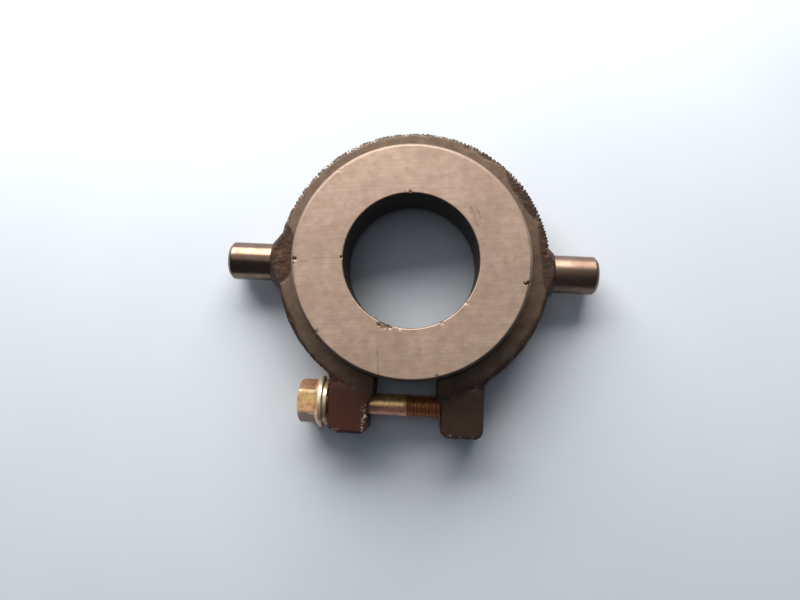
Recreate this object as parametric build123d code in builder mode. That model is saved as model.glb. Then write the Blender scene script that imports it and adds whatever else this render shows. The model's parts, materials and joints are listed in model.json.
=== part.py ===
from build123d import *
from math import cos, hypot, radians, sin, sqrt, tan
import os

# Clamp-type clutch release collar, in millimetres.
# A split ring with two lugs and a pinch bolt grips a thick thrust ring.
# Two trunnion pins stand out sideways, where a fork holds the collar.
# Origin: where the bore axis (Z) crosses the trunnion axis (X).
# +Z leaves the collar through its thrust face. The lugs point along -Y.

# ---- thrust ring ----
thrust_od = 78.0            # outside diameter, gripped by the clamp
thrust_bore = 44.0          # the shaft passes through with clearance
thrust_height = 19.9
face_edge = 1.0             # chamfer round the thrust face
bore_mouth = 0.4            # chamfer where the bore meets the face
back_edge = 0.8             # chamfers at the seated end

# ---- clamp ring ----
clamp_wall = 7.0            # mean radial wall outside the seat
cast_shift = 0.6            # the cast outline sits this far towards +X of the bore
clamp_height = 16.0
seat_clearance = 0.05       # radial, between the seat and the thrust ring
lip_width = 4.0             # radial width of the ledge under the ring
lip_thick = 4.6
rim_break = 0.8             # as-cast edge round the outline
seat_mouth = 0.4            # chamfer where the thrust ring enters

# ---- lugs and the split between them ----
plain_lug_thick = 15.0      # left lug, along the bolt, at the ring
tapped_lug_thick = 15.6     # right lug
split_half = 10.4           # half width of the split at the ring
split_flare = 1.7           # the split widens by this on each side
split_slope = 3.2           # length of the slope between those widths
slope_past_bolt = 0.4       # the slope ends this far inside the bolt axis
lug_outer_round = 3.0
lug_inner_bevel = 1.6
lug_root_round = 4.0        # where the lugs leave the ring

# ---- pinch bolt: M8 with an integral flange ----
bolt_to_end = 9.6           # from the bolt axis to the ends of the lugs
washer_to_root = 1.5        # from the washer to where the left lug leaves the ring
thread_d = 8.0
thread_length = 22.0
thread_step = 0.75          # the rolled thread is this much thicker than the shank
bolt_length = 50.0          # under the flange to the tip
tip_bevel = 1.0
head_across_flats = 13.0
head_height = 8.3           # with the flange
head_top_share = 0.95       # flat circle on the head, of the flats' width
head_bevel_deg = 30
flange_overhang = 1.1       # past the corners of the hexagon
flange_rim = 1.2            # thickness of the flange at its edge
flange_slope = 1.3          # rise of its cone from the rim to the hexagon
bolt_hole_play = 0.5        # radial, in the plain hole of the left lug
tapped_clearance = 0.12     # radial, outside the thread

# ---- spring washer ----
washer_play = 0.3           # radial, round the thread
washer_width = 3.4          # radial width of its wire
washer_thick = 1.5
washer_lift = 0.6           # how far its two ends stand apart along the bolt
washer_split_deg = 14       # missing part of the turn
washer_split_at = 156       # place of the split, round the bolt from +Y
washer_face_play = 0.02     # at each face of the washer

# ---- trunnion pins and their bosses ----
pin_d = 13.0
pin_reach = 15.0            # how far each pin stands out of its boss
pin_tip_bevel = 1.1
spigot_d = 10.0             # inner end of each pin, pressed into the boss
spigot_bevel = 0.6
spigot_seat_gap = 0.3       # from a spigot's end to the seat
boss_reach = 2.1            # how far the boss's flat end is past the mean wall
boss_end_wall = 0.8         # boss wall round the pin at its flat end
boss_cone_deg = 49          # from the trunnion axis
boss_root = 3.0             # the cone starts this far inside the wall

# ---- worked out ----
thrust_r = thrust_od / 2
seat_r = thrust_r + seat_clearance
clamp_r = seat_r + clamp_wall
lip_r = seat_r - lip_width
clamp_top = clamp_height / 2
clamp_bottom = -clamp_height / 2
thrust_bottom = clamp_bottom + lip_thick
split_half_wide = split_half + split_flare
left_lug_x = -(split_half + plain_lug_thick)
right_lug_x = split_half + tapped_lug_thick
thread_r = thread_d / 2
washer_r = thread_r + washer_play + washer_width
left_root_y = -sqrt(clamp_r**2 - (left_lug_x - cast_shift) ** 2)
bolt_y = left_root_y - washer_to_root - washer_r
lug_end = bolt_y - bolt_to_end
slope_end = bolt_y + slope_past_bolt
slope_start = slope_end + split_slope
shank_r = (thread_d - thread_step) / 2
head_corner_r = head_across_flats / 2 / cos(radians(30))
flange_r = head_corner_r + flange_overhang
flange_x = left_lug_x - washer_thick - washer_lift - 2 * washer_face_play
head_x = flange_x - head_height
tip_x = flange_x + bolt_length
thread_x = tip_x - thread_length
pin_r = pin_d / 2
spigot_r = spigot_d / 2
spigot_end = seat_r + spigot_seat_gap
boss_end = clamp_r + boss_reach
boss_end_r = pin_r + boss_end_wall
pin_tip = boss_end + pin_reach

os.makedirs("parts", exist_ok=True)


# ---- thrust ring: the flat wear ring, turned all over ----
with BuildPart() as thrust_ring:
    with BuildSketch(Plane.XY.offset(thrust_bottom)):
        Circle(thrust_r)
        Circle(thrust_bore / 2, mode=Mode.SUBTRACT)
    extrude(amount=thrust_height)
    face_rims = thrust_ring.faces().sort_by(Axis.Z)[-1].edges().sort_by(SortBy.RADIUS)
    back_rims = thrust_ring.faces().sort_by(Axis.Z)[0].edges()
    chamfer(face_rims[-1], length=face_edge)
    chamfer(face_rims[0], length=bore_mouth)
    chamfer(back_rims, length=back_edge)


# ---- clamp ring: split ring, two lugs and two pin bosses in one casting ----
with BuildPart() as clamp_ring:
    with BuildSketch(Plane.XY.offset(clamp_bottom)) as outline:
        for lug_face_x in (left_lug_x, right_lug_x):
            with BuildLine():
                FilletPolyline(
                    (0, -lip_r),
                    (lug_face_x, -lip_r),
                    (lug_face_x, lug_end),
                    (0, lug_end),
                    radius=(0, lug_outer_round),
                )
                Line((0, lug_end), (0, -lip_r))
            make_face()
        with Locations((cast_shift, 0)):
            Circle(clamp_r)
        lug_roots = outline.vertices().filter_by(
            lambda v: abs(hypot(v.X - cast_shift, v.Y) - clamp_r) < 0.01
        )
        fillet(lug_roots.sort_by(Axis.Y)[:2], radius=lug_root_round)
    extrude(amount=clamp_height)
    chamfer(clamp_ring.edges().filter_by(Plane.XY), length=rim_break)

    # conical bosses, trimmed flush with the faces of the ring
    boss_root_x = clamp_r - boss_root
    boss_root_r = boss_end_r + (boss_end - boss_root_x) * tan(radians(boss_cone_deg))
    with BuildSketch(Plane.XY):
        with BuildLine():
            Polyline(
                (seat_r, 0),
                (boss_end, 0),
                (boss_end, boss_end_r),
                (boss_root_x, boss_root_r),
                (seat_r, boss_root_r),
                close=True,
            )
        make_face()
        mirror(about=Plane.YZ)
    revolve(axis=Axis.X)
    split(bisect_by=Plane.XY.offset(clamp_top), keep=Keep.BOTTOM)
    split(bisect_by=Plane.XY.offset(clamp_bottom), keep=Keep.TOP)

    # the seat of the thrust ring, and the open ledge below it
    with BuildSketch(Plane.XY.offset(thrust_bottom)):
        Circle(seat_r)
    extrude(amount=clamp_height, mode=Mode.SUBTRACT)
    with BuildSketch(Plane.XY.offset(clamp_bottom)):
        Circle(lip_r)
    extrude(amount=clamp_height, mode=Mode.SUBTRACT)
    round_edges = clamp_ring.faces().sort_by(Axis.Z)[-1].edges().filter_by(GeomType.CIRCLE)
    seat_rim = round_edges.filter_by(lambda edge: abs(edge.radius - seat_r) < 0.01)
    chamfer(seat_rim, length=seat_mouth)

    # the split, which widens past the bolt and has bevelled ends
    with BuildSketch(Plane.XY.offset(clamp_bottom)):
        with BuildLine():
            Polyline(
                (0, 0),
                (split_half, 0),
                (split_half, slope_start),
                (split_half_wide, slope_end),
                (split_half_wide, lug_end + lug_inner_bevel),
                (split_half_wide + lug_inner_bevel, lug_end),
                (0, lug_end),
                close=True,
            )
        make_face()
        mirror(about=Plane.YZ)
    extrude(amount=clamp_height, mode=Mode.SUBTRACT)

    # spigot holes through both bosses
    with BuildSketch(Plane.YZ):
        Circle(spigot_r)
    extrude(amount=boss_end, both=True, mode=Mode.SUBTRACT)

    # plain bolt hole in the left lug, tapped hole in the right one
    with BuildSketch(Plane.YZ):
        with Locations((bolt_y, 0)):
            Circle(thread_r + bolt_hole_play)
    extrude(amount=left_lug_x, mode=Mode.SUBTRACT)
    with BuildSketch(Plane.YZ):
        with Locations((bolt_y, 0)):
            Circle(thread_r + tapped_clearance)
    extrude(amount=right_lug_x, mode=Mode.SUBTRACT)


# ---- pinch bolt ----
bolt_axis = Axis((0, bolt_y, 0), (1, 0, 0))

with BuildPart() as clamp_bolt:
    with BuildSketch(Plane.YZ.offset(head_x)):
        with Locations((bolt_y, 0)):
            RegularPolygon(head_across_flats / 2, 6, major_radius=False)
    extrude(amount=head_height)

    # bevel that rounds off the corners of the head
    bevel_r = head_across_flats / 2 * head_top_share
    bevel_out = head_corner_r - bevel_r + 1
    with BuildSketch(Plane.XY):
        with Locations((head_x, bolt_y)):
            with BuildLine():
                Polyline(
                    (0, bevel_r),
                    (0, bevel_r + bevel_out),
                    (bevel_out * tan(radians(head_bevel_deg)), bevel_r + bevel_out),
                    close=True,
                )
            make_face()
    revolve(axis=bolt_axis, mode=Mode.SUBTRACT)

    # flange, shank and thread, turned about the bolt axis
    neck = thread_r - shank_r
    with BuildSketch(Plane.XY):
        with BuildLine():
            Polyline(
                (flange_x - flange_rim - flange_slope, bolt_y),
                (flange_x - flange_rim - flange_slope, bolt_y + head_across_flats / 2),
                (flange_x - flange_rim, bolt_y + flange_r),
                (flange_x, bolt_y + flange_r),
                (flange_x, bolt_y + shank_r),
                (thread_x - neck, bolt_y + shank_r),
                (thread_x, bolt_y + thread_r),
                (tip_x - tip_bevel, bolt_y + thread_r),
                (tip_x, bolt_y + thread_r - tip_bevel),
                (tip_x, bolt_y),
                close=True,
            )
        make_face()
    revolve(axis=bolt_axis)


# ---- spring washer: one turn of square wire, its ends sprung apart ----
washer_turn = 360 - washer_split_deg
washer_mid_r = washer_r - washer_width / 2
washer_start = radians(washer_split_at + washer_split_deg / 2)
washer_base = left_lug_x - washer_face_play - washer_thick / 2
washer_plane = Plane(
    origin=(washer_base, bolt_y, 0),
    x_dir=(0, cos(washer_start), sin(washer_start)),
    z_dir=(-1, 0, 0),
)

coil = washer_plane.location * Helix(
    pitch=washer_lift * 360 / washer_turn,
    height=washer_lift,
    radius=washer_mid_r,
    lefthand=True,
)
coil_start = Plane(origin=coil @ 0, x_dir=washer_plane.x_dir, z_dir=coil % 0)

with BuildPart() as spring_washer:
    with BuildLine():
        add(coil)
    with BuildSketch(coil_start):
        Rectangle(washer_width, washer_thick)
    sweep(is_frenet=True)


# ---- trunnion pins: ground pins with a spigot pressed into the boss ----
def make_pin(side):
    """One pin, turned about X, on the side that has the given sign."""
    with BuildPart() as pin:
        with BuildSketch(Plane.XY):
            with BuildLine():
                Polyline(
                    (side * spigot_end, 0),
                    (side * spigot_end, spigot_r - spigot_bevel),
                    (side * (spigot_end + spigot_bevel), spigot_r),
                    (side * boss_end, spigot_r),
                    (side * boss_end, pin_r),
                    (side * (pin_tip - pin_tip_bevel), pin_r),
                    (side * pin_tip, pin_r - pin_tip_bevel),
                    (side * pin_tip, 0),
                    close=True,
                )
            make_face()
        revolve(axis=Axis.X)
    return pin.part


left_trunnion_pin = make_pin(-1)
right_trunnion_pin = make_pin(1)


# ---- the six pieces ----
pieces = {
    "thrust_ring": thrust_ring.part,
    "clamp_ring": clamp_ring.part,
    "clamp_bolt": clamp_bolt.part,
    "spring_washer": spring_washer.part,
    "left_trunnion_pin": left_trunnion_pin,
    "right_trunnion_pin": right_trunnion_pin,
}
for label, piece in pieces.items():
    piece.label = label
    export_step(piece, f"parts/{label}.step")
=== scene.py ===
import json
import math

import bmesh
import bpy
import numpy as np
from mathutils import Matrix, Vector


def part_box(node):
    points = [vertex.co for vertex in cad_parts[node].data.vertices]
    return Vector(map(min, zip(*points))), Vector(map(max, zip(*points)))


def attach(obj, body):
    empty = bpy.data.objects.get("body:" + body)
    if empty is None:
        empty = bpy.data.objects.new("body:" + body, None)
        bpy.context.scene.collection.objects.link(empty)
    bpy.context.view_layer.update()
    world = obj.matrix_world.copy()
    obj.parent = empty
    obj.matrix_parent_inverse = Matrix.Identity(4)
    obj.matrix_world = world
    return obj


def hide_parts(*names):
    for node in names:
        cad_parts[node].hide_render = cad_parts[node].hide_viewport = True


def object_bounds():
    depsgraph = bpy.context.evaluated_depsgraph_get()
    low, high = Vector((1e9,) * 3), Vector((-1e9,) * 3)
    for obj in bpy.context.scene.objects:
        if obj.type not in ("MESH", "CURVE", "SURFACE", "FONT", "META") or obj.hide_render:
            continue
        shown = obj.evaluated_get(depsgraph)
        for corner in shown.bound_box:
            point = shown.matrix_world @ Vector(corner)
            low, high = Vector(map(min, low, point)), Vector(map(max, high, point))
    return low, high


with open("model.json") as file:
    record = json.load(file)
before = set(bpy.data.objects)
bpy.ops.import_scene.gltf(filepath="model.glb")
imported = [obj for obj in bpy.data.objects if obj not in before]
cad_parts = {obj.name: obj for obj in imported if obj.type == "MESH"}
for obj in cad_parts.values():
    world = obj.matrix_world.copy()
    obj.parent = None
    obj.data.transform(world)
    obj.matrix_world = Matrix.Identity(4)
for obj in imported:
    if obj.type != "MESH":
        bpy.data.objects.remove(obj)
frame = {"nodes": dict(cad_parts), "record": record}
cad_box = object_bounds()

MM = 0.001


# ---------------------------------------------------------------- sizes from the frame

def span(node):
    """Lowest and highest corner of a CAD node, in millimetres."""
    low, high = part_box(node)
    return [c / MM for c in low], [c / MM for c in high]


ring_low, ring_high = span("thrust_ring")
clamp_low, clamp_high = span("clamp_ring")
bolt_low, bolt_high = span("clamp_bolt")
washer_low, washer_high = span("spring_washer")
pin_low, pin_high = span("right_trunnion_pin")
mount_dims = {m["name"]: m["dims"] for m in frame["record"]["mounts"]}

ring_r = ring_high[0]
ring_top, ring_bottom = ring_high[2], ring_low[2]
bore_r = mount_dims["shaft_bore"]["r_mm"]
clamp_r = clamp_high[1]
clamp_top = clamp_high[2]
boss_end = clamp_high[0]
lug_end = clamp_low[1]
bolt_y = (bolt_low[1] + bolt_high[1]) / 2
flange_r = (bolt_high[1] - bolt_low[1]) / 2
head_x, tip_x = bolt_low[0], bolt_high[0]
washer_r = (washer_high[1] - washer_low[1]) / 2
left_lug_x = washer_high[0]
pin_r = (pin_high[1] - pin_low[1]) / 2
pin_inner, pin_tip = pin_low[0], pin_high[0]

# sizes that a node's box doesn't give
RING_FACE_EDGE = 1.0
RING_BORE_EDGE = 0.4
RING_BACK_EDGE = 0.8
PIN_SPIGOT_R = 5.0
PIN_TIP_EDGE = 1.1
HEAD_FLATS = 13.0
HEAD_HEIGHT = 8.3
FLANGE_RIM = 1.2
FLANGE_SLOPE = 1.3
SHANK_R = 3.625
THREAD_R = 3.95
THREAD_PITCH = 1.25
THREAD_DEPTH = 0.74
THREAD_LENGTH = 22.0
TAPPED_HOLE_R = 4.12
PLAIN_HOLE_R = 4.5
SPLIT_HALF_WIDE = 12.1
RIGHT_LUG_X = 26.0
LUG_ROOT_Y = -40.0               # the lugs leave the ring about here
CAST_SHIFT = 0.6                 # the cast outline sits this far towards +X of the bore
WASHER_WIDTH = 3.4
WASHER_THICK = 1.5
WASHER_LIFT = 0.6
WASHER_SPLIT_DEG = 14
WASHER_SPLIT_AT = 156


# ---------------------------------------------------------------- mesh helpers

def new_piece(name, verts, faces, body, replaced=(), smooth_deg=40):
    """A mesh object from points in millimetres, riding on a CAD body."""
    mesh = bpy.data.meshes.new(name)
    mesh.from_pydata([[c * MM for c in v] for v in verts], [], faces)
    finish_mesh(mesh, smooth_deg)
    return place(name, mesh, body, replaced)


def finish_mesh(mesh, smooth_deg):
    """Outward normals and smooth shading, with sharp edges past an angle."""
    work = bmesh.new()
    work.from_mesh(mesh)
    bmesh.ops.recalc_face_normals(work, faces=work.faces)
    work.to_mesh(mesh)
    work.free()
    mesh.polygons.foreach_set("use_smooth", [True] * len(mesh.polygons))
    mesh.set_sharp_from_angle(angle=math.radians(smooth_deg))
    mesh.update()


def place(name, mesh, body, replaced):
    obj = bpy.data.objects.new(name, mesh)
    bpy.context.scene.collection.objects.link(obj)
    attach(obj, body)
    if replaced:
        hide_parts(*replaced)
    return obj


def soften(points, radius, steps=4, closed=False):
    """The corners of an outline, rounded by curves of about that radius."""
    out = []
    count = len(points)
    for i, p in enumerate(points):
        if not closed and i in (0, count - 1):
            out.append(p)
            continue
        p = Vector(p)
        before = Vector(points[i - 1]) - p
        after = Vector(points[(i + 1) % count]) - p
        reach = min(radius, before.length * 0.4, after.length * 0.4)
        start = p + before.normalized() * reach
        end = p + after.normalized() * reach
        out.append(tuple(p + before.normalized() * reach * 1.5))
        for k in range(steps + 1):
            t = k / steps
            out.append(tuple(start * (1 - t) ** 2 + p * 2 * t * (1 - t) + end * t ** 2))
        out.append(tuple(p + after.normalized() * reach * 1.5))
    return out


def subdivided(points, longest, closed=False):
    """The same outline with no step longer than the given length."""
    out = []
    last = len(points) if closed else len(points) - 1
    for i in range(last):
        a = Vector(points[i])
        b = Vector(points[(i + 1) % len(points)])
        parts = max(1, math.ceil((b - a).length / longest))
        for k in range(parts):
            out.append(tuple(a.lerp(b, k / parts)))
    if not closed:
        out.append(points[-1])
    return out


def joined_rows(rows, place_point, closed=False):
    """Points and faces over rows of (along, radius), where each row goes once round the axis.
    place_point(along, radius, angle) gives the point in space. Open ends are capped."""
    steps, count = len(rows[0]), len(rows)
    verts = []
    for row in rows:
        for k, (along, radius) in enumerate(row):
            verts.append(place_point(along, radius, math.tau * k / steps))
    faces = []
    for i in range(count if closed else count - 1):
        j = (i + 1) % count
        for k in range(steps):
            n = (k + 1) % steps
            faces.append((i * steps + k, i * steps + n, j * steps + n, j * steps + k))
    if not closed:
        for i in (0, count - 1):
            middle = len(verts)
            verts.append(place_point(rows[i][0][0], 0, 0))
            for k in range(steps):
                faces.append((i * steps + k, i * steps + (k + 1) % steps, middle))
    return verts, faces


def turned(outline, steps, place_point, closed=False):
    """Points and faces of an outline of (along, radius) turned through a full circle."""
    return joined_rows([[point] * steps for point in outline], place_point, closed)


def about_z(along, radius, angle):
    return (radius * math.cos(angle), radius * math.sin(angle), along)


def about_x(centre_y=0):
    """Turns about a line along X, with angle 0 towards +Y."""
    def place_point(along, radius, angle):
        return (along, centre_y + radius * math.cos(angle), radius * math.sin(angle))
    return place_point


def smoothstep(low, high, value):
    t = np.clip((value - low) / (high - low), 0, 1)
    return t * t * (3 - 2 * t)


# large odd numbers that scatter the keys of neighbouring lattice points
KEY_SCATTER = (73856093, 19349663, 83492791)
SEED_SCATTER = 2654435761
LAST_SCATTER = 1274126177


def lattice_noise(points, cell, seed):
    """Smooth value noise from -1 to 1 at points in millimetres."""
    grid = points / cell
    base = np.floor(grid).astype(np.int64)
    part = grid - base
    part = part * part * (3 - 2 * part)
    total = np.zeros(len(points))
    for corner in range(8):
        step = np.array([corner & 1, corner >> 1 & 1, corner >> 2 & 1])
        key = base + step
        value = seed * SEED_SCATTER
        for axis, scatter in enumerate(KEY_SCATTER):
            value = value ^ key[:, axis] * scatter
        value = (value ^ value >> 13) * LAST_SCATTER & 0x7FFFFFFF
        value = (value ^ value >> 16) & 0xFFFF
        weight = np.prod(np.where(step == 1, part, 1 - part), axis=1)
        total += weight * (value / 32767.5 - 1)
    return total


# ---------------------------------------------------------------- material helpers

class Shader:
    """A material's nodes, added one call at a time."""

    def __init__(self, name):
        self.material = bpy.data.materials.new(name)
        self.material.use_nodes = True
        self.tree = self.material.node_tree
        self.bsdf = self.tree.nodes["Principled BSDF"]
        self.coords = self.tree.nodes.new("ShaderNodeTexCoord").outputs["Object"]

    def link(self, source, target):
        self.tree.links.new(source, target)

    def stretched(self, scale, turn=0):
        """Object coordinates in mm, turned about Z by some degrees, times a scale for each axis."""
        node = self.tree.nodes.new("ShaderNodeMapping")
        node.vector_type = "TEXTURE"
        node.inputs["Scale"].default_value = [MM / s for s in scale]
        node.inputs["Rotation"].default_value = (0, 0, math.radians(turn))
        self.link(self.coords, node.inputs["Vector"])
        return node.outputs["Vector"]

    def noise(self, scale, detail=4, roughness=0.55, stretch=(1, 1, 1), distortion=0, turn=0):
        node = self.tree.nodes.new("ShaderNodeTexNoise")
        node.inputs["Scale"].default_value = 1
        node.inputs["Detail"].default_value = detail
        node.inputs["Roughness"].default_value = roughness
        node.inputs["Distortion"].default_value = distortion
        self.link(self.stretched([scale * s for s in stretch], turn), node.inputs["Vector"])
        return node.outputs["Fac"]

    def cells(self, scale):
        node = self.tree.nodes.new("ShaderNodeTexVoronoi")
        node.inputs["Scale"].default_value = 1
        self.link(self.stretched([scale] * 3), node.inputs["Vector"])
        return node.outputs["Distance"]

    def ramp(self, factor, stops):
        node = self.tree.nodes.new("ShaderNodeValToRGB")
        ramp = node.color_ramp
        while len(ramp.elements) < len(stops):
            ramp.elements.new(0.5)
        for element, (place_at, value) in zip(ramp.elements, stops):
            element.position = place_at
            colour = (value, value, value) if isinstance(value, (int, float)) else value
            element.color = (*colour, 1)
        self.link(factor, node.inputs["Fac"])
        return node.outputs["Color"]

    def mix(self, factor, a, b, blend="MIX"):
        node = self.tree.nodes.new("ShaderNodeMix")
        node.data_type = "RGBA"
        node.blend_type = blend
        for value, socket in ((factor, node.inputs[0]), (a, node.inputs[6]), (b, node.inputs[7])):
            self.put(value, socket)
        return node.outputs[2]

    def product(self, a, b):
        node = self.tree.nodes.new("ShaderNodeMath")
        node.operation = "MULTIPLY"
        self.put(a, node.inputs[0])
        self.put(b, node.inputs[1])
        return node.outputs["Value"]

    def put(self, value, socket):
        if hasattr(value, "is_output"):
            self.link(value, socket)
        elif isinstance(value, (int, float)):
            socket.default_value = (value, value, value, 1) if socket.type == "RGBA" else value
        else:
            socket.default_value = (*value, 1)

    def attribute(self, name):
        node = self.tree.nodes.new("ShaderNodeAttribute")
        node.attribute_name = name
        return node.outputs["Fac"]

    def bump(self, height, strength, distance):
        """Bump of a height, over any bump made before it. distance is in millimetres."""
        node = self.tree.nodes.new("ShaderNodeBump")
        node.inputs["Strength"].default_value = strength
        node.inputs["Distance"].default_value = distance * MM
        self.link(height, node.inputs["Height"])
        if self.bsdf.inputs["Normal"].is_linked:
            self.link(self.bsdf.inputs["Normal"].links[0].from_socket, node.inputs["Normal"])
        self.link(node.outputs["Normal"], self.bsdf.inputs["Normal"])

    def set(self, **values):
        for name, value in values.items():
            self.put(value, self.bsdf.inputs[name.replace("_", " ").title()])
        return self.material


def paint(obj, material):
    obj.data.materials.clear()
    obj.data.materials.append(material)


# ---------------------------------------------------------------- materials

def cast_iron():
    """Oily dark brown casting, with bright worn edges, painted glints along the rim and a faced top that
    fades darker towards the lugs as painted shade.
    """
    s = Shader("cast_iron")
    faced_with_lug_shade = s.attribute("faced_with_lug_shade")
    wear_and_glints = s.attribute("wear_and_glints")
    grain = s.noise(0.9, detail=6, roughness=0.7)
    specks = s.noise(2.4, detail=4, roughness=0.8)
    reddish = s.attribute("reddish")
    rust = s.ramp(s.noise(0.17, detail=5, roughness=0.65), [(0.50, 0), (0.66, 1)])
    skin = s.ramp(s.noise(0.07, detail=3), [(0.3, (0.026, 0.014, 0.010)), (0.7, (0.048, 0.029, 0.019))])
    skin = s.mix(s.product(rust, 0.45), skin, (0.095, 0.030, 0.013))
    skin = s.mix(s.ramp(grain, [(0.45, 0.0), (0.8, 0.30)]), skin, (0.080, 0.046, 0.030))
    skin = s.mix(s.product(reddish, 0.75), skin, (0.070, 0.021, 0.014))
    bare = s.ramp(s.noise(0.3, detail=5), [(0.3, (0.100, 0.066, 0.045)), (0.7, (0.165, 0.118, 0.084))])
    bare = s.mix(s.product(rust, 0.25), bare, (0.16, 0.075, 0.035))
    # faced metal is bare and bright; towards the lugs it is painted back to dark skin as shade
    colour = s.mix(s.product(faced_with_lug_shade, s.ramp(grain, [(0.25, 0.75), (0.6, 1.0)])), skin, bare)
    bright = s.ramp(s.noise(2.1, detail=2, roughness=0.6), [(0.53, 0.0), (0.58, 1.0)])
    # near-white worn metal, and painted glints on the rim
    colour = s.mix(s.product(wear_and_glints, bright), colour, (0.95, 0.88, 0.80))
    skin_rough = s.ramp(grain, [(0.3, 0.62), (0.7, 0.42)])
    rough = s.mix(faced_with_lug_shade, skin_rough, s.ramp(grain, [(0.3, 0.50), (0.7, 0.40)]))
    s.bump(grain, 0.55, 0.18)
    s.bump(specks, 0.35, 0.08)
    s.bsdf.inputs["Specular IOR Level"].default_value = 0.3
    return s.set(base_color=colour, roughness=rough, metallic=0.3)


def lapped_carbon():
    """Warm grey satin face with a fine lapping grain, pits and smudges."""
    s = Shader("lapped_carbon")
    lap = s.noise(1.0, detail=5, roughness=0.6, stretch=(0.10, 3.2, 1), turn=5)
    fine = s.noise(1.0, detail=3, roughness=0.7, stretch=(0.4, 6.0, 2), turn=9)
    cloud = s.noise(0.055, detail=4, distortion=0.6)
    mottle = s.noise(0.35, detail=5, roughness=0.65)
    pits = s.ramp(s.cells(0.6), [(0.045, 1.0), (0.10, 0.0)])
    stain = s.ramp(s.noise(0.11, detail=5, roughness=0.6), [(0.60, 0.0), (0.74, 0.45)])
    colour = s.ramp(cloud, [(0.3, (0.385, 0.284, 0.226)), (0.7, (0.475, 0.360, 0.290))])
    colour = s.mix(s.ramp(mottle, [(0.37, 0.42), (0.60, 0.0)]), colour, (0.27, 0.185, 0.140))
    colour = s.mix(s.ramp(lap, [(0.35, 0.28), (0.60, 0.0)]), colour, (0.22, 0.150, 0.115))
    colour = s.mix(stain, colour, (0.235, 0.155, 0.120))
    colour = s.mix(s.product(pits, 0.75), colour, (0.10, 0.065, 0.05))
    colour = s.mix(s.attribute("mark"), colour, (0.09, 0.055, 0.042))
    sides = s.ramp(fine, [(0.3, (0.022, 0.014, 0.012)), (0.7, (0.045, 0.030, 0.024))])
    # dark side colour on walls and bore, and painted shade on the outer chamfer
    colour = s.mix(s.attribute("side"), colour, sides)
    broken = s.ramp(mottle, [(0.42, (0.07, 0.045, 0.035)), (0.60, (0.46, 0.36, 0.29))])
    colour = s.mix(s.attribute("chip"), colour, broken)
    rough = s.ramp(fine, [(0.3, 0.38), (0.7, 0.52)])
    s.bump(lap, 0.2, 0.04)
    s.bump(fine, 0.2, 0.02)
    s.bump(mottle, 0.15, 0.03)
    s.bsdf.inputs["Specular IOR Level"].default_value = 0.2
    return s.set(base_color=colour, roughness=rough, metallic=0.4)


def pin_steel(name, dullness):
    """Ground steel, darkened by oil, with fine round marks. dullness adds to the roughness."""
    s = Shader(name)
    rings = s.noise(1.0, detail=4, stretch=(4.5, 0.25, 0.25))
    stain = s.noise(0.22, detail=5, roughness=0.65)
    colour = s.ramp(stain, [(0.32, (0.145, 0.096, 0.070)), (0.68, (0.235, 0.170, 0.130))])
    specks = s.ramp(s.noise(0.9, detail=5, roughness=0.75), [(0.60, 0.0), (0.72, 0.6)])
    colour = s.mix(specks, colour, (0.40, 0.30, 0.22))
    rough = s.ramp(stain, [(0.3, 0.26 + dullness), (0.7, 0.17 + dullness)])
    s.bump(rings, 0.12, 0.02)
    s.bump(s.noise(1.4, detail=4), 0.06, 0.03)
    return s.set(base_color=colour, roughness=rough, metallic=1.0)


def yellow_zinc():
    """Zinc plate with a yellow chromate film, pink in places and brown in the thread."""
    s = Shader("yellow_zinc")
    film = s.noise(0.20, detail=3, distortion=0.8)
    grime = s.ramp(s.noise(0.8, detail=6, roughness=0.7), [(0.50, 0), (0.70, 0.8)])
    gold = s.ramp(film, [
        (0.30, (0.80, 0.44, 0.27)),
        (0.42, (0.88, 0.58, 0.24)),
        (0.55, (0.84, 0.64, 0.28)),
        (0.70, (0.82, 0.48, 0.29)),
    ])
    colour = s.mix(s.attribute("pink"), gold, (0.92, 0.42, 0.31))
    colour = s.mix(s.attribute("thread"), colour, (0.56, 0.26, 0.11))
    colour = s.mix(grime, colour, (0.17, 0.075, 0.035))
    # painted shade on the hex head's lower facet and, less, its upper facet
    colour = s.mix(s.attribute("painted_facet_shade"), colour, (0.20, 0.115, 0.10))
    # worn edges and painted highlights: the flange rim's +Y side and the hex corners
    colour = s.mix(s.attribute("wear_and_glints"), colour, (0.92, 0.86, 0.76))
    rough = s.ramp(film, [(0.3, 0.28), (0.7, 0.38)])
    s.bump(s.noise(1.6, detail=4), 0.14, 0.05)
    return s.set(base_color=colour, roughness=rough, metallic=0.65)


def washer_zinc():
    """Bright spring wire with a thin yellow film."""
    s = Shader("washer_zinc")
    film = s.noise(0.35, detail=3)
    colour = s.ramp(film, [(0.3, (0.56, 0.40, 0.24)), (0.7, (0.78, 0.68, 0.50))])
    grime = s.ramp(s.noise(0.9, detail=5, roughness=0.7), [(0.55, 0), (0.70, 0.7)])
    colour = s.mix(grime, colour, (0.16, 0.09, 0.05))
    # bare metal at the wire's ends, painted near-white as a glint
    colour = s.mix(s.attribute("burr_and_glint"), colour, (0.95, 0.86, 0.78))
    s.bump(s.noise(1.8, detail=4), 0.15, 0.05)
    return s.set(base_color=colour, roughness=s.ramp(film, [(0.3, 0.30), (0.7, 0.22)]), metallic=0.7)


# ---------------------------------------------------------------- thrust ring

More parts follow.
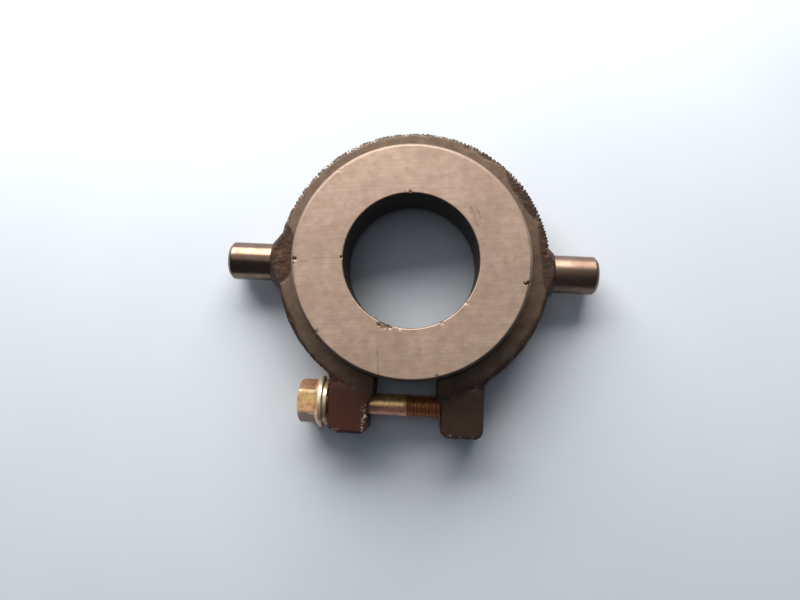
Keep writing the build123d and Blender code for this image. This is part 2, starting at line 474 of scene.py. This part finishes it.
def thrust_ring():
    outline = [
        (ring_bottom, bore_r + RING_BACK_EDGE),
        (ring_bottom + RING_BACK_EDGE, bore_r),
        (ring_top - RING_BORE_EDGE, bore_r),
        (ring_top, bore_r + RING_BORE_EDGE),
        (ring_top, ring_r - RING_FACE_EDGE),
        (ring_top - RING_FACE_EDGE, ring_r),
        (ring_bottom + RING_BACK_EDGE, ring_r),
        (ring_bottom, ring_r - RING_BACK_EDGE),
    ]
    outline = subdivided(soften(outline, 0.12, steps=3, closed=True), 0.45, closed=True)
    verts, faces = turned(outline, 900, about_z, closed=True)
    points, chipped = chip_edges(np.array(verts))
    obj = new_piece("wear_ring", points.tolist(), faces, "ring", ["thrust_ring"])
    radius = np.hypot(points[:, 0], points[:, 1])
    on_face = smoothstep(ring_top - 1.25, ring_top - 0.85, points[:, 2])
    in_bore = smoothstep(bore_r + 0.25, bore_r + 0.05, radius)
    on_chamfer = smoothstep(ring_r - RING_FACE_EDGE + 0.05, ring_r - RING_FACE_EDGE + 0.3, radius)
    shade_towards_lugs = smoothstep(10.0, -25.0, points[:, 1])
    # walls and bore take the dark side colour; the outer chamfer takes it as painted shade, strongest
    # towards -Y, away from the light
    store(obj, "side", np.maximum(1 - on_face, in_bore) + on_chamfer * on_face * (0.2 + 0.7 * shade_towards_lugs))
    store(obj, "chip", chipped)
    store(obj, "mark", face_marks(points) * on_face)
    paint(obj, lapped_carbon())


# place round the ring in degrees, which edge, size and depth in mm
CHIPS = [
    (-111, "bore", 1.6, 0.50),
    (-105, "bore", 0.9, 0.35),
    (-96, "bore", 0.6, 0.20),
    (-62, "bore", 0.6, 0.25),
    (-36, "bore", 0.6, 0.20),
    (180, "bore", 0.7, 0.35),
    (93, "bore", 0.5, 0.22),
    (97, "bore", 0.35, 0.12),
    (-178, "rim", 0.9, 0.32),
    (-176, "rim", 0.6, 0.12),
    (-9, "rim", 1.1, 0.45),
    (131, "rim", 0.5, 0.20),
    (-75, "rim", 0.5, 0.20),
    (-140, "rim", 0.7, 0.25),
]

# marks on the thrust face: start and end in mm from the bore's axis, width and darkness
MARKS = [
    ((-9.4, -28.4), (-8.6, -37.8), 0.22, 0.55),
    ((-37.2, -2.6), (-30.0, -0.6), 0.16, 0.55),
    ((-30.0, -0.6), (-23.0, -0.4), 0.14, 0.40),
    ((-36.4, -10.4), (-27.5, -8.6), 0.14, 0.40),
    ((-36.6, 1.2), (-25.0, 1.9), 0.12, 0.30),
    ((18.6, 17.9), (20.8, 12.2), 0.55, 0.45),
    ((20.1, 18.6), (21.9, 14.6), 0.35, 0.40),
    ((-30.0, 17.0), (-25.5, 20.2), 0.12, 0.30),
    ((26.0, -14.0), (33.5, -12.6), 0.12, 0.25),
    ((3.0, -30.5), (14.0, -28.6), 0.12, 0.25),
]


def face_marks(points):
    """How dark the scratches and smudges make each point of the face."""
    dark = np.zeros(len(points))
    broken = 0.55 + 0.6 * lattice_noise(points, 0.55, 7)
    for start, end, width, depth in MARKS:
        a, b = np.array(start), np.array(end)
        along = np.clip((points[:, :2] - a) @ (b - a) / ((b - a) @ (b - a)), 0, 1)
        away = np.linalg.norm(points[:, :2] - a - along[:, None] * (b - a), axis=1)
        dark = np.maximum(dark, depth * smoothstep(width * 1.6, width * 0.5, away) * np.clip(broken, 0, 1))
    return dark


def chip_edges(points):
    """Small breaks in the two edges of the thrust face, and how chipped each point is."""
    chipped = np.zeros(len(points))
    rough = 1 + 0.55 * lattice_noise(points, 0.5, 5) + 0.25 * lattice_noise(points, 0.22, 6)
    for degrees, edge, size, depth in CHIPS:
        radius = bore_r + RING_BORE_EDGE if edge == "bore" else ring_r - RING_FACE_EDGE
        inward = 1 if edge == "bore" else -1
        angle = math.radians(degrees)
        centre = np.array([radius * math.cos(angle), radius * math.sin(angle), ring_top])
        away = np.linalg.norm(points - centre, axis=1) / (size * rough)
        amount = smoothstep(1.0, 0.55, away)
        outward = np.column_stack([points[:, 0], points[:, 1], np.zeros(len(points))])
        outward /= np.linalg.norm(outward, axis=1)[:, None]
        points = points + outward * (amount * depth * 0.5 * inward)[:, None]
        points[:, 2] -= amount * depth
        chipped = np.maximum(chipped, smoothstep(0.1, 0.6, amount))
    return points, chipped


def store(obj, name, values):
    layer = obj.data.attributes.new(name, "FLOAT", "POINT")
    layer.data.foreach_set("value", np.asarray(values, dtype=np.float32))


# ---------------------------------------------------------------- clamp casting

VOXEL = 0.30
BORED_PAST = 5.5                 # metal further in than this from the cast outline was bored
TOOTH_PITCH = 1.25
TOOTH_DEPTH = 0.55


def voxel_copy(node, name):
    """A fine even mesh over the same solid as a CAD node."""
    work = bmesh.new()
    work.from_mesh(frame["nodes"][node].data)
    bmesh.ops.remove_doubles(work, verts=work.verts, dist=1e-6)
    mesh = bpy.data.meshes.new(name)
    work.to_mesh(mesh)
    work.free()
    mesh.materials.clear()
    obj = bpy.data.objects.new(name, mesh)
    bpy.context.scene.collection.objects.link(obj)
    remesh = obj.modifiers.new("even", "REMESH")
    remesh.mode = "VOXEL"
    remesh.voxel_size = VOXEL * MM
    smooth = obj.modifiers.new("ease", "SMOOTH")
    smooth.iterations = 2
    smooth.factor = 0.5
    bpy.context.view_layer.update()
    done = bpy.data.meshes.new_from_object(obj.evaluated_get(bpy.context.evaluated_depsgraph_get()))
    bpy.data.objects.remove(obj)
    return done


# where the facing cut missed the casting: place round the ring, half width in degrees, depth in mm
MISSED = [(178, 13, 5.2), (6, 15, 2.6), (34, 13, 3.4), (62, 11, 1.3), (-38, 18, 0.9), (205, 10, 0.8)]


def points_and_normals(mesh):
    """A mesh's points in millimetres and its normals, as rows of three."""
    points = np.empty(len(mesh.vertices) * 3, dtype=np.float32)
    mesh.vertices.foreach_get("co", points)
    normals = np.empty_like(points)
    mesh.vertex_normals.foreach_get("vector", normals)
    return points.reshape(-1, 3).astype(float) / MM, normals.reshape(-1, 3).astype(float)


class CastSurface:
    """The casting's points, with how cut, sunk, notched or worn each of them is, and where glints are
    painted on them.
    """

    def __init__(self, points, normals):
        self.points = points
        self.normals = normals
        self.x, self.y, self.z = points.T        # views, so they follow the points when those move
        self.radius = np.hypot(self.x, self.y)
        self.cast_radius = np.hypot(self.x - CAST_SHIFT, self.y)
        self.angle = np.degrees(np.arctan2(self.y, self.x))
        self.coarse = lattice_noise(points, 4.0, 11)
        self.medium = lattice_noise(points, 1.3, 12)
        self.fine = lattice_noise(points, 0.6, 13)
        # the far side, where the burr is; the faced part of the top; and the part that the cut missed
        self.far_arc = smoothstep(2, 12, self.angle) * smoothstep(170, 150, self.angle)
        on_top = smoothstep(0.7, 0.95, normals[:, 2]) * smoothstep(clamp_top - 0.5, clamp_top - 0.2, self.z)
        self.top_face = on_top * self.faced_share()
        self.missed = on_top * (1 - self.top_face)

    def faced_share(self):
        """1 on the lugs, and on the ring out to a ragged line that dips where the cut missed."""
        run_out = clamp_r - 0.9 + 0.5 * self.coarse + 0.25 * self.medium
        for centre, half_width, depth in MISSED:
            off = (self.angle - centre + 180) % 360 - 180
            run_out -= depth * np.clip(1 - (off / half_width) ** 2, 0, 1) ** 0.6
        past_ring = smoothstep(clamp_r - 3, clamp_r - 1, self.cast_radius)
        on_lug = smoothstep(LUG_ROOT_Y, LUG_ROOT_Y - 2, self.y) * past_ring
        return np.maximum(smoothstep(run_out + 0.8, run_out - 0.8, self.cast_radius), on_lug)

    def cut(self):
        """1 where the metal was cut: top face, seat, ledge, bolt holes, boss ends and split."""
        inside = smoothstep(clamp_r - BORED_PAST, clamp_r - BORED_PAST - 0.8, self.radius)
        from_bolt = np.hypot(self.y - bolt_y, self.z)
        holes = smoothstep(PLAIN_HOLE_R + 0.7, PLAIN_HOLE_R + 0.2, from_bolt) * (self.y < LUG_ROOT_Y)
        boss_ends = smoothstep(boss_end - 0.6, boss_end - 0.2, np.abs(self.x))
        in_split = (np.abs(self.x) < SPLIT_HALF_WIDE + 0.6) * (self.y < LUG_ROOT_Y + 2)
        split_walls = in_split * smoothstep(0.6, 0.9, np.abs(self.normals[:, 0]))
        return np.clip(self.top_face + inside + holes + boss_ends + split_walls, 0, 1)

    def sink_skin(self):
        """The as-cast skin sinks unevenly and is never proud of the true shape."""
        cut = self.cut()
        lumps = 0.12 + 0.08 * self.coarse + 0.08 * self.medium + 0.07 * self.fine
        sink = (1 - cut) * np.clip(lumps, 0, None) + self.missed * 0.07 + cut * 0.008 * (1 + self.fine)
        self.points -= self.normals * sink[:, None]

    def notch_burr(self):
        """A serrated burr along the outer edge of the top, round the far side."""
        along = np.radians(self.angle) * clamp_r / TOOTH_PITCH
        jitter = 0.35 * np.sin(along * 0.61) + 0.25 * np.sin(along * 0.37 + 1.0)
        tooth = np.abs((along + jitter) % 1 - 0.5) * 2
        edge = smoothstep(clamp_top - 3.5, clamp_top - 0.8, self.z)
        edge = edge * smoothstep(clamp_r - 1.8, clamp_r - 0.8, self.cast_radius)
        uneven = np.clip(0.75 + 0.6 * self.medium, 0.1, 1.2)
        notch = TOOTH_DEPTH * edge * self.far_arc * uneven * smoothstep(0.2, 0.8, tooth)
        outward = np.column_stack([self.x - CAST_SHIFT, self.y, np.zeros(len(self.points))])
        outward /= np.maximum(self.cast_radius, 1e-6)[:, None]
        self.points -= outward * notch[:, None]

    def knock_corners(self):
        """Two lug corners, knocked off in use."""
        for side, corner_x, reach in ((-1, left_lug_x, 1.6), (1, RIGHT_LUG_X, 0.7)):
            into = side * (self.x - corner_x) * 0.45 - (self.y - lug_end) + 0.4 * self.medium
            beyond = np.clip(into + reach, 0, None) * (side * self.x > SPLIT_HALF_WIDE + 3)
            self.points[:, 1] += beyond * 0.8
            self.points[:, 0] -= side * beyond * 0.3

    def faced_with_lug_shade(self):
        """Where the faced metal is bright, faded out towards the lugs as painted shade."""
        return self.top_face * smoothstep(LUG_ROOT_Y - 6, LUG_ROOT_Y + 7, self.y + 2 * self.coarse)

    def reddish(self):
        """The left lug has a red tinge."""
        return smoothstep(-8.0, -14.0, self.x) * smoothstep(LUG_ROOT_Y + 10, LUG_ROOT_Y + 2, self.y)

    def wear_and_glints(self):
        """Bright worn metal at the lugs' corners and split edge and specks in the missed zones, with
        painted glints along the rim: stronger round the far side, strongest on the arc towards the light.
        """
        rim = smoothstep(clamp_r - 1.4, clamp_r - 0.7, self.cast_radius)
        rim *= (self.cast_radius < clamp_r + 0.4) * smoothstep(clamp_top - 1.6, clamp_top - 0.7, self.z)
        # the rim's arc that faces the light, where the glints are painted highlights
        lit_side_arc = smoothstep(86, 112, self.angle) * smoothstep(168, 150, self.angle)
        glints = rim * smoothstep(0.0, 0.5, self.medium) * (0.12 + 0.3 * self.far_arc + 0.9 * lit_side_arc)
        sparkle = self.missed * smoothstep(0.4, 0.7, self.fine) * 0.08 * (self.y > LUG_ROOT_Y + 10)
        top_edge = smoothstep(clamp_top - 1.7, clamp_top - 0.9, self.z)
        corners = smoothstep(lug_end + 1.8, lug_end + 0.6, self.y) * smoothstep(10, 13, np.abs(self.x))
        corners = corners * (0.06 + top_edge) * smoothstep(0.1, 0.6, lattice_noise(self.points, 1.4, 22))
        gap_edge = smoothstep(-14.6, -13.0, self.x) * (self.x < 0) * top_edge * 0.7
        gap_edge = gap_edge * smoothstep(-46, -50, self.y) * smoothstep(-0.1, 0.3, self.fine)
        return np.clip(glints + sparkle + corners * 0.9 + gap_edge, 0, 1)


def clamp_casting(iron):
    mesh = voxel_copy("clamp_ring", "clamp_casting")
    surface = CastSurface(*points_and_normals(mesh))
    surface.sink_skin()
    surface.notch_burr()
    surface.knock_corners()
    mesh.vertices.foreach_set("co", (surface.points * MM).astype(np.float32).ravel())
    finish_mesh(mesh, 50)
    obj = place("clamp_casting", mesh, "clamp", ["clamp_ring"])
    store(obj, "faced_with_lug_shade", surface.faced_with_lug_shade())
    store(obj, "reddish", surface.reddish())
    store(obj, "wear_and_glints", surface.wear_and_glints())
    paint(obj, iron)


# ---------------------------------------------------------------- pins

def trunnion_pins():
    outline = [
        (pin_inner, PIN_SPIGOT_R - 0.6),
        (pin_inner + 0.6, PIN_SPIGOT_R),
        (boss_end, PIN_SPIGOT_R),
        (boss_end, pin_r),
        (pin_tip - PIN_TIP_EDGE, pin_r),
        (pin_tip, pin_r - PIN_TIP_EDGE),
        (pin_tip, 1.6),
        (pin_tip - 0.9, 0.4),
    ]
    outline = soften(outline, 0.3)
    for side, name, dullness in ((-1, "left", 0.0), (1, "right", 0.16)):
        points = [(side * along, radius) for along, radius in outline]
        verts, faces = turned(points, 128, about_x())
        obj = new_piece(name + "_pin", verts, faces, "clamp", [name + "_trunnion_pin"])
        paint(obj, pin_steel("pin_steel_" + name, dullness))


# ---------------------------------------------------------------- bolt

BOLT_STEPS = 96                  # points round the bolt and round the thread in the lug
HEX_CORNER_R = HEAD_FLATS / 2 / math.cos(math.radians(30))
HEX_CORNER_WEAR = 0.12
HEX_BEVEL_R = 6.15               # where the bevel of the head's corners starts
TIP_BEVEL = 1.0
THREAD_STEPS = 20                # rows to one pitch of the bolt's thread
TAP_STEPS = 16                   # and of the lug's
TAP_PLAY = 0.07                  # between the two threads
flange_x = head_x + HEAD_HEIGHT
slope_start = flange_x - FLANGE_RIM - FLANGE_SLOPE
thread_x = tip_x - THREAD_LENGTH


def hexagon(angle):
    """Radius of the head's hexagon, with flats towards +Z and -Z and worn corners."""
    turn = (angle + math.radians(30)) % math.radians(60) - math.radians(30)
    sharp = HEAD_FLATS / 2 / math.cos(math.radians(30) - abs(turn))
    return min(sharp, HEX_CORNER_R - HEX_CORNER_WEAR)


def thread_depth_at(along, angle):
    """How deep the helical groove is, from 0 on a crest to 1 at its root."""
    phase = (along / THREAD_PITCH - angle / math.tau) % 1
    return min(1.0, max(0.0, (0.44 - abs(phase - 0.5)) / 0.32))


def round_row(along, radius):
    return [(along, radius)] * BOLT_STEPS


def shaped_row(along, radius_at):
    """One turn whose radius depends on the angle."""
    return [(along, radius_at(math.tau * k / BOLT_STEPS)) for k in range(BOLT_STEPS)]


def head_rows():
    """The hexagon, from its shallow dish over its bevel to the foot of its flats."""
    rows = [round_row(head_x + 0.45, radius) for radius in (1.5, 3.0, 4.2, 4.6)]
    for along, radius in ((head_x + 0.38, 4.9), (head_x + 0.12, 5.2), (head_x, 5.5), (head_x, 6.0)):
        rows.append(round_row(along, radius))
    for k in range(9):
        limit = HEX_BEVEL_R + k * 0.17
        along = head_x + 0.02 + (limit - HEX_BEVEL_R) * 0.58
        rows.append(shaped_row(along, lambda angle: min(hexagon(angle), limit)))
    top, foot = head_x + 0.85, slope_start - 0.15
    for k in range(1, 8):
        rows.append(shaped_row(top + (foot - top) * k / 7, hexagon))
    rows.append(shaped_row(slope_start + 0.02, lambda angle: hexagon(angle) * 1.004))
    return rows


def flange_rows():
    """The flange's cone, its rim and the round under it."""
    rows = []
    cone_r = flange_r - 0.12
    for k in range(1, 7):
        t = k / 6
        along = slope_start + 0.05 + FLANGE_SLOPE * t ** 1.25
        rows.append(shaped_row(along, lambda angle: hexagon(angle) + (cone_r - hexagon(angle)) * t))
    for along, radius in (
        (flange_x - FLANGE_RIM + 0.15, flange_r),
        (flange_x - 0.25, flange_r),
        (flange_x - 0.06, flange_r - 0.08),
        (flange_x, flange_r - 0.3),
        (flange_x, SHANK_R + 1.2),
        (flange_x, SHANK_R + 0.5),
        (flange_x + 0.12, SHANK_R + 0.16),
        (flange_x + 0.5, SHANK_R),
    ):
        rows.append(round_row(along, radius))
    return rows


def shank_rows():
    count = 23
    start, end = flange_x + 0.5, thread_x - 1.2
    return [round_row(start + (end - start) * k / count, SHANK_R) for k in range(1, count + 1)]


def thread_rows():
    """The helical thread, which runs out towards the shank and ends in a bevelled tip."""
    first = thread_x - 1.0
    rows = []
    for k in range(round((tip_x - first) / THREAD_PITCH * THREAD_STEPS)):
        along = first + k * THREAD_PITCH / THREAD_STEPS
        rise = min(1, max(0, along - first))
        cut_in = min(1, max(0, (along - first - 0.5) / 1.4))
        crest = SHANK_R + (THREAD_R - SHANK_R) * rise
        tip_limit = THREAD_R - max(0, along - (tip_x - TIP_BEVEL))
        rows.append(shaped_row(
            along,
            lambda angle: min(crest - THREAD_DEPTH * thread_depth_at(along, angle) * cut_in, tip_limit),
        ))
    rows.append(round_row(tip_x, THREAD_R - TIP_BEVEL - 0.05))
    rows.append(round_row(tip_x, 1.2))
    return rows


def pinch_bolt():
    rows = head_rows() + flange_rows() + shank_rows() + thread_rows()
    verts, faces = joined_rows(rows, about_x(bolt_y))
    obj = new_piece("pinch_bolt", verts, faces, "bolt", ["clamp_bolt"], smooth_deg=32)
    x, y, z = np.array(verts).T
    out = np.hypot(y - bolt_y, z)
    round_bolt = (y - bolt_y) / np.maximum(out, 1e-6)
    on_head = x < slope_start
    on_flange = smoothstep(flange_r - 0.5, flange_r - 0.1, out)
    on_corner = smoothstep(HEX_CORNER_R - 0.45, HEX_CORNER_R - 0.15, out) * on_head
    on_thread = smoothstep(thread_x - 0.8, thread_x + 0.4, x)
    on_shank = (x > flange_x + 1) * (1 - on_thread)
    low_facet = smoothstep(-3.2, -4.0, y - bolt_y) * on_head
    high_facet = smoothstep(3.4, 4.4, y - bolt_y) * on_head
    rub = smoothstep(-0.2, 0.5, lattice_noise(np.array(verts), 1.2, 31))
    rim_wear_and_highlight = on_flange * (0.25 + 0.55 * smoothstep(-0.3, 0.3, round_bolt))
    low_side = smoothstep(0.15, -0.25, round_bolt) * (0.5 + 0.4 * on_shank)
    # painted shade on the hex head's lower facet and, less, its upper facet
    store(obj, "painted_facet_shade", low_facet * 0.88 + high_facet * 0.42)
    # flange rim brighter on its +Y side, towards the light, and bright hex corners: wear and painted
    # highlight
    store(obj, "wear_and_glints", np.clip(rim_wear_and_highlight + on_corner * rub * 0.95, 0, 1))
    store(obj, "thread", on_thread)
    store(obj, "pink", np.clip(low_side + high_facet * 0.5, 0, 1))
    paint(obj, yellow_zinc())


def tapped_thread(iron):
    """The thread cut in the right lug, a loose fit round the bolt's own."""
    start, end = SPLIT_HALF_WIDE + 0.35, RIGHT_LUG_X - 0.35
    count = round((end - start) / THREAD_PITCH * TAP_STEPS)
    rows = []
    for k in range(count + 1):
        along = start + (end - start) * k / count
        mouth = max(0, min(1, (along - start) / 0.8, (end - along) / 0.8))
        rows.append(shaped_row(
            along,
            lambda angle: THREAD_R + TAP_PLAY - THREAD_DEPTH * thread_depth_at(along, angle) * mouth,
        ))
    outer = TAPPED_HOLE_R + 0.22
    rows += [round_row(end, outer), round_row(start, outer)]
    verts, faces = joined_rows(rows, about_x(bolt_y), closed=True)
    obj = new_piece("tapped_thread", verts, faces, "clamp")
    store(obj, "faced_with_lug_shade", np.zeros(len(verts)))
    store(obj, "reddish", np.zeros(len(verts)))
    store(obj, "wear_and_glints", np.full(len(verts), 0.15))
    paint(obj, iron)


# ---------------------------------------------------------------- spring washer

BURR_SWELL = 0.16                # the ends are wider by this share
BURR_TURN = 1 / 60               # and taper off over this share of the turn


def split_washer():
    """One turn of square wire, sprung apart, with a small burr at both ends."""
    turn = 360 - WASHER_SPLIT_DEG
    mid_r = washer_r - WASHER_WIDTH / 2
    base_x = left_lug_x - WASHER_THICK / 2
    half_w, half_t = WASHER_WIDTH / 2, WASHER_THICK / 2
    square = [(-half_w, -half_t), (half_w, -half_t), (half_w, half_t), (-half_w, half_t)]
    section = soften(square, 0.28, steps=3, closed=True)
    steps = 180
    verts = []
    for k in range(steps + 1):
        t = k / steps
        angle = math.radians(WASHER_SPLIT_AT + WASHER_SPLIT_DEG / 2 + turn * t)
        lift = base_x - WASHER_LIFT * t
        end_swell = BURR_SWELL * max(0, 1 - min(t, 1 - t) / BURR_TURN)
        for out, up in section:
            r = mid_r + out * (1 + end_swell)
            verts.append((lift - up, bolt_y + r * math.cos(angle), r * math.sin(angle)))
    n = len(section)
    faces = []
    for k in range(steps):
        for j in range(n):
            m = (j + 1) % n
            faces.append((k * n + j, k * n + m, (k + 1) * n + m, (k + 1) * n + j))
    faces.append(tuple(range(n)))
    faces.append(tuple(range(steps * n, steps * n + n)))
    obj = new_piece("split_washer", verts, faces, "washer", ["spring_washer"], smooth_deg=50)
    along_turn = np.repeat(np.arange(steps + 1) / steps, n)
    # bare metal at the wire's ends, painted near-white as a glint
    store(obj, "burr_and_glint", smoothstep(0.02, 0.008, np.minimum(along_turn, 1 - along_turn)))
    paint(obj, washer_zinc())


# ---------------------------------------------------------------- build the pieces

thrust_ring()
iron = cast_iron()
clamp_casting(iron)
trunnion_pins()
pinch_bolt()
tapped_thread(iron)
split_washer()


# ---------------------------------------------------------------- floor, light and camera

def floor():
    """A wide pale sheet that curves up far behind the object."""
    size, depth = 1.6, cad_box[0][2]
    flat_share, rise = 0.7, 0.25
    mesh = bpy.data.meshes.new("floor")
    steps = 24
    verts = []
    for i in range(steps + 1):
        for j in range(steps + 1):
            x = size * (i / steps - 0.5) * 2
            y = size * (j / steps - 0.5) * 2
            edge = max(abs(x), abs(y)) / size
            verts.append((x, y, depth + rise * max(0, edge - flat_share) ** 2))
    faces = []
    for i in range(steps):
        for j in range(steps):
            a = i * (steps + 1) + j
            faces.append((a, a + steps + 1, a + steps + 2, a + 1))
    mesh.from_pydata(verts, [], faces)
    mesh.polygons.foreach_set("use_smooth", [True] * len(mesh.polygons))
    obj = bpy.data.objects.new("floor", mesh)
    bpy.context.scene.collection.objects.link(obj)
    s = Shader("pale_floor")
    tone = s.ramp(s.noise(0.01, detail=3), [(0.3, (0.60, 0.67, 0.76)), (0.7, (0.64, 0.71, 0.80))])
    s.bump(s.noise(0.8, detail=3), 0.05, 0.1)
    paint(obj, s.set(base_color=tone, roughness=0.85))


def area_light(name, power, size, place_at, target=(0, 0, 0), colour=(1, 1, 1)):
    data = bpy.data.lights.new(name, "AREA")
    data.shape = "RECTANGLE"
    data.size, data.size_y = size
    data.energy = power
    data.color = colour
    obj = bpy.data.objects.new(name, data)
    bpy.context.scene.collection.objects.link(obj)
    obj.location = place_at
    aim = Vector(target) - Vector(place_at)
    obj.rotation_mode = "QUATERNION"
    obj.rotation_quaternion = aim.to_track_quat("-Z", "Y")


def lighting():
    """One large soft window low beyond the pins, and a little light from the room."""
    area_light("window", 9.2, (0.75, 0.42), (-0.10, 0.46, 0.27), colour=(1.0, 0.94, 0.87))
    area_light("overhead", 0.95, (0.5, 0.8), (-0.18, 0.20, 0.95), colour=(1.0, 0.97, 0.93))
    world = bpy.data.worlds.new("room")
    world.use_nodes = True
    world.node_tree.nodes["Background"].inputs["Color"].default_value = (0.80, 0.88, 1.0, 1)
    world.node_tree.nodes["Background"].inputs["Strength"].default_value = 0.10
    bpy.context.scene.world = world


def camera():
    """Almost straight above, leaning a little towards the lugs."""
    place_at = Vector((0.00485, -0.03406, 0.20642))
    back = Vector((0.0405, -0.1094, 0.9932)).normalized()
    right = Vector((0.9982, 0.0493, -0.0353))
    right = (right - back * right.dot(back)).normalized()
    up = back.cross(right)
    data = bpy.data.cameras.new("camera")
    data.sensor_width = 36
    data.lens = 27
    data.clip_start = 0.01
    data.clip_end = 20
    obj = bpy.data.objects.new("camera", data)
    bpy.context.scene.collection.objects.link(obj)
    turn = Matrix((right, up, back)).transposed().to_4x4()
    obj.matrix_world = Matrix.Translation(place_at) @ turn
    bpy.context.scene.camera = obj


floor()
lighting()
camera()
bpy.context.scene.view_settings.view_transform = "Standard"
